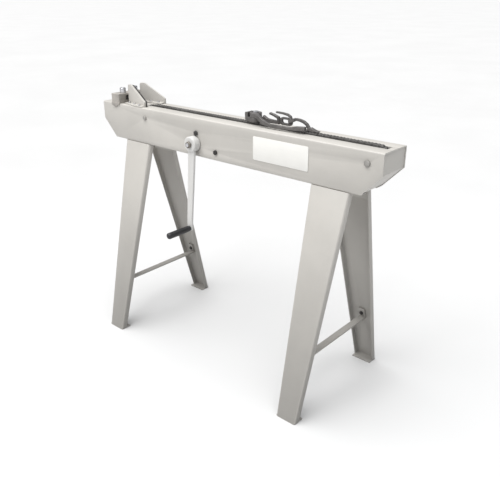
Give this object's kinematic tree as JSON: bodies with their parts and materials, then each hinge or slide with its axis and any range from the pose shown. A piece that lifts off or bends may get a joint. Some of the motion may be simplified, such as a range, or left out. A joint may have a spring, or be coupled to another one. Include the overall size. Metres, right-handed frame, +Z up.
{
  "type": "manual draw bench",
  "caption": "Hand-cranked wire and tube draw bench: folded steel beam on splayed trestles, chain-driven draw tongs, draw plate holder, geared side crank.",
  "frame": {"origin": "on the floor, under the middle of the beam", "axes": "+X along the beam from the die end to the crank operator's far end, +Y to the back, +Z up; the crank is on the -Y side"},
  "size_m": [1.36, 0.542, 1.0244],
  "materials": {
    "paint": "warm light grey powder coat, satin, faintly orange-peeled, scuffed at edges",
    "black_steel": "blackened steel fasteners, lightly oiled",
    "dark_steel": "dark forged and oiled steel, worn brighter on edges and contact faces",
    "bright_steel": "zinc plated steel, satin",
    "bronze": "sintered bronze bush, oily",
    "grip_plastic": "black moulded grip, satin, dust in the pores",
    "label": "off-white enamelled plate, blank"
  },
  "bodies": {
    "bench": {"side_front": "paint", "side_rear": "paint", "end_plate_left": "paint", "end_plate_right": "paint", "leg_front_left": "paint", "leg_rear_left": "paint", "leg_front_right": "paint", "leg_rear_right": "paint", "saddle_left": "paint", "saddle_right": "paint", "brace_left": "paint", "brace_right": "paint", "gusset_front": "paint", "gusset_rear": "paint", "crank_bracket": "paint", "brace_bolt_front_left": "black_steel", "brace_bolt_rear_left": "black_steel", "brace_bolt_front_right": "black_steel", "brace_bolt_rear_right": "black_steel", "bearing_bolt_upper": "black_steel", "bearing_bolt_lower": "black_steel", "gusset_liner": "black_steel", "die_holder": "dark_steel", "chain": "dark_steel", "bearing_front": "dark_steel", "bearing_rear": "dark_steel", "axle_left": "bright_steel", "axle_right": "bright_steel", "idler_axle_left": "bright_steel", "idler_axle_right": "bright_steel", "gusset_front_bolt_1": "bright_steel", "gusset_front_bolt_2": "bright_steel", "gusset_front_bolt_3": "bright_steel", "gusset_rear_bolt_1": "bright_steel", "gusset_rear_bolt_2": "bright_steel", "gusset_rear_bolt_3": "bright_steel", "crank_bush": "bronze", "nameplate": "label"},
    "crank": {"crank_shaft": "bright_steel", "pinion": "dark_steel", "crank_arm": "paint", "crank_nut": "black_steel", "grip_spindle": "bright_steel"},
    "grip": {"grip": "grip_plastic"},
    "countershaft": {"countershaft": "bright_steel", "gear": "dark_steel", "drive_sprocket": "dark_steel"},
    "sprocket_left": {"sprocket_left": "dark_steel"},
    "sprocket_right": {"sprocket_right": "dark_steel"},
    "idler_left": {"idler_roller_left": "dark_steel"},
    "idler_right": {"idler_roller_right": "dark_steel"},
    "tongs": {"tong_lower": "dark_steel", "tong_rivet": "bright_steel", "pull_ring": "dark_steel"},
    "tong_upper": {"tong_upper": "dark_steel"},
    "hook": {"pull_hook": "dark_steel", "hook_tooth": "dark_steel"},
    "draw_plate": {"draw_plate": "dark_steel"},
    "clamp_front": {"clamp_screw_front": "bright_steel"},
    "clamp_rear": {"clamp_screw_rear": "bright_steel"}
  },
  "joints": [
    {"name": "crank_turn", "type": "hinge", "parent": "bench", "child": "crank", "pos_m": [-0.1203, 0, 0.852], "axis": [0, 1, 0], "range_deg": [-4025, 1225], "deforming": ["chain"]},
    {"name": "grip_spin", "type": "hinge", "parent": "crank", "child": "grip", "pos_m": [-0.1203, -0.15, 0.52], "axis": [0, 1, 0], "continuous": true},
    {"name": "countershaft_turn", "type": "hinge", "parent": "bench", "child": "countershaft", "pos_m": [-0.0625, 0, 0.86252], "axis": [0, 1, 0], "range_deg": [-420.1, 1500.1]},
    {"name": "sprocket_left_turn", "type": "hinge", "parent": "bench", "child": "sprocket_left", "pos_m": [-0.4085, 0, 0.90907], "axis": [0, 1, 0], "range_deg": [-900.1, 252.1]},
    {"name": "sprocket_right_turn", "type": "hinge", "parent": "bench", "child": "sprocket_right", "pos_m": [0.62534, 0, 0.90907], "axis": [0, 1, 0], "range_deg": [-900.1, 252.1]},
    {"name": "idler_left_turn", "type": "hinge", "parent": "bench", "child": "idler_left", "pos_m": [-0.1125, 0, 0.86252], "axis": [0, 1, 0], "range_deg": [-1993.2, 558.2]},
    {"name": "idler_right_turn", "type": "hinge", "parent": "bench", "child": "idler_right", "pos_m": [-0.0125, 0, 0.86252], "axis": [0, 1, 0], "range_deg": [-1993.2, 558.2]},
    {"name": "tongs_travel", "type": "slide", "parent": "bench", "child": "tongs", "axis": [1, 0, 0], "range_m": [-0.5842, 0.1778]},
    {"name": "tongs_open", "type": "hinge", "parent": "tongs", "child": "tong_upper", "pos_m": [0.125, 0, 0.9725], "axis": [0, 0, 1], "range_deg": [-10, 0]},
    {"name": "hook_lift", "type": "hinge", "parent": "tongs", "child": "hook", "pos_m": [0.281, 0, 0.977], "axis": [0, 1, 0], "range_deg": [-8, 0]},
    {"name": "draw_plate_out", "type": "slide", "parent": "bench", "child": "draw_plate", "axis": [1, 0, 0], "range_m": [-0.06, 0]},
    {"name": "clamp_front_turn", "type": "hinge", "parent": "bench", "child": "clamp_front", "pos_m": [-0.588, -0.031, 0.99], "axis": [0, 0, 1], "range_deg": [0, 720]},
    {"name": "clamp_rear_turn", "type": "hinge", "parent": "bench", "child": "clamp_rear", "pos_m": [-0.588, 0.031, 0.99], "axis": [0, 0, 1], "range_deg": [0, 720]}
  ],
  "couplings": [
    {"joint": "countershaft_turn", "follows": "crank_turn", "ratio": -0.34286},
    {"joint": "sprocket_left_turn", "follows": "crank_turn", "ratio": 0.20571},
    {"joint": "sprocket_right_turn", "follows": "crank_turn", "ratio": 0.20571},
    {"joint": "idler_left_turn", "follows": "crank_turn", "ratio": 0.45555},
    {"joint": "idler_right_turn", "follows": "crank_turn", "ratio": 0.45555},
    {"joint": "tongs_travel", "follows": "crank_turn", "m_per_rad": 0.0083161}
  ]
}
